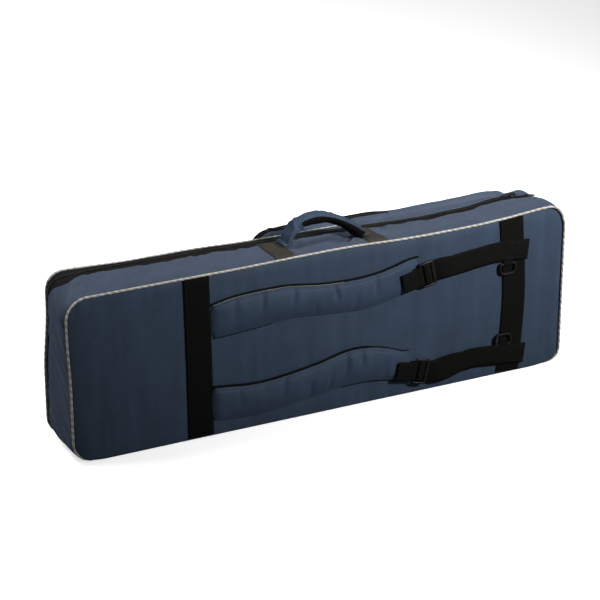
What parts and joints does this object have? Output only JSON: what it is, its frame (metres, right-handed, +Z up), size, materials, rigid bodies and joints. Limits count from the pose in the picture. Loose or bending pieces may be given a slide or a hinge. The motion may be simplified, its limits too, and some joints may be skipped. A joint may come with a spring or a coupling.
{
  "type": "telescope carry case",
  "caption": "Long padded soft case with piped panels, zipped lid and pocket, arched carry handle and backpack straps with ladder-lock buckles.",
  "frame": {"origin": "centre of the case's base gusset, on the surface that the case stands on", "axes": "+X along the case towards the strap adjusters, +Y from the shoulder-strap panel towards the lid and its pocket, +Z up"},
  "size_m": [1.0116, 0.1821, 0.3755],
  "materials": {
    "panel_nylon": "ribbed navy nylon, semi matt",
    "gusset_nylon": "plain navy nylon, soft and slightly puckered",
    "pad_nylon": "quilted navy nylon over foam",
    "piping_cloth": "silver grey woven piping",
    "webbing_black": "ribbed black webbing",
    "zipper_tape": "black knitted tape",
    "zipper_coil": "black nylon coil",
    "foam": "grey closed-cell foam",
    "lining_cloth": "dark grey brushed lining",
    "black_plastic": "moulded, fine satin",
    "slider_metal": "black enamel, worn edges",
    "rivet_metal": "satin"
  },
  "bodies": {
    "case": {"back_panel": "panel_nylon", "back_foam": "foam", "back_lining": "lining_cloth", "body_gusset": "gusset_nylon", "body_gusset_foam": "foam", "body_gusset_lining": "lining_cloth", "back_piping": "piping_cloth", "body_zipper_tape": "zipper_tape", "body_zipper_coil": "zipper_coil", "webbing_left": "webbing_black", "webbing_right": "webbing_black", "handle_patch_left": "webbing_black", "handle_patch_right": "webbing_black", "handle_tab_left": "pad_nylon", "handle_tab_right": "pad_nylon", "handle_rivets": "rivet_metal", "shoulder_pad_upper": "pad_nylon", "shoulder_pad_lower": "pad_nylon", "pad_tab_upper": "webbing_black", "pad_tab_lower": "webbing_black", "adjuster_webbing_upper": "webbing_black", "adjuster_webbing_lower": "webbing_black", "ring_keeper_upper": "webbing_black", "ring_keeper_lower": "webbing_black", "inner_strap_left": "webbing_black", "inner_strap_right": "webbing_black"},
    "handle": {"handle_webbing": "webbing_black", "handle_grip": "pad_nylon"},
    "top_slider": {"top_slider": "slider_metal"},
    "top_puller": {"top_puller": "slider_metal"},
    "corner_slider": {"corner_slider": "slider_metal"},
    "corner_puller": {"corner_puller": "slider_metal"},
    "lid": {"front_panel": "panel_nylon", "front_foam": "foam", "front_lining": "lining_cloth", "front_piping": "piping_cloth", "lid_gusset": "gusset_nylon", "lid_gusset_foam": "foam", "lid_zipper_tape": "zipper_tape", "lid_zipper_coil": "zipper_coil", "pocket_gusset": "gusset_nylon", "pocket_inner_tape": "zipper_tape", "pocket_inner_coil": "zipper_coil"},
    "pocket_flap": {"pocket_panel": "panel_nylon", "pocket_binding": "webbing_black", "pocket_outer_tape": "zipper_tape", "pocket_outer_coil": "zipper_coil"},
    "pocket_slider": {"pocket_slider": "slider_metal"},
    "pocket_puller": {"pocket_puller": "slider_metal"},
    "buckle_upper": {"ladder_lock_upper": "black_plastic"},
    "buckle_lower": {"ladder_lock_lower": "black_plastic"},
    "ring_upper": {"d_ring_upper": "black_plastic"},
    "ring_lower": {"d_ring_lower": "black_plastic"}
  },
  "joints": [
    {"name": "lid_hinge", "type": "hinge", "parent": "case", "child": "lid", "pos_m": [0, 0.0625, 0.0025], "axis": [-1, 0, 0], "range_deg": [0, 80]},
    {"name": "pocket_flap_hinge", "type": "hinge", "parent": "lid", "child": "pocket_flap", "pos_m": [0, 0.103, 0.032], "axis": [-1, 0, 0], "range_deg": [0, 80]},
    {"name": "handle_fold", "type": "hinge", "parent": "case", "child": "handle", "pos_m": [0.015, 0, 0.329], "axis": [1, 0, 0], "range_deg": [-60, 60], "stiffness_Nm_per_rad": 0.4},
    {"name": "top_slider_run", "type": "slide", "parent": "case", "child": "top_slider", "axis": [-1, 0, 0], "range_m": [0, 0.84]},
    {"name": "top_puller_flip", "type": "hinge", "parent": "top_slider", "child": "top_puller", "pos_m": [0.446, 0.0375, 0.3263], "axis": [0, 1, 0], "range_deg": [0, 100]},
    {"name": "corner_slider_turn", "type": "hinge", "parent": "case", "child": "corner_slider", "pos_m": [0.463, 0.0375, 0.278], "axis": [0, 1, 0], "range_deg": [0, 90]},
    {"name": "corner_puller_flip", "type": "hinge", "parent": "corner_slider", "child": "corner_puller", "pos_m": [0.463, 0.0375, 0.3263], "axis": [0, -1, 0], "range_deg": [0, 100]},
    {"name": "pocket_slider_run", "type": "slide", "parent": "lid", "child": "pocket_slider", "axis": [1, 0, 0], "range_m": [0, 0.46]},
    {"name": "pocket_puller_flip", "type": "hinge", "parent": "pocket_slider", "child": "pocket_puller", "pos_m": [-0.045, 0.093, 0.3173], "axis": [0, -1, 0], "range_deg": [0, 100]},
    {"name": "buckle_upper_tilt", "type": "hinge", "parent": "case", "child": "buckle_upper", "pos_m": [0.188, -0.073, 0.24], "axis": [0.2079, 0, -0.9781], "range_deg": [0, 35]},
    {"name": "buckle_lower_tilt", "type": "hinge", "parent": "case", "child": "buckle_lower", "pos_m": [0.178, -0.073, 0.049], "axis": [-0.2079, 0, -0.9781], "range_deg": [0, 35]},
    {"name": "ring_upper_swing", "type": "hinge", "parent": "case", "child": "ring_upper", "pos_m": [0.377, -0.0671, 0.2295], "axis": [-1, 0, 0], "range_deg": [0, 90]},
    {"name": "ring_lower_swing", "type": "hinge", "parent": "case", "child": "ring_lower", "pos_m": [0.372, -0.0671, 0.064], "axis": [1, 0, 0], "range_deg": [0, 90]}
  ]
}
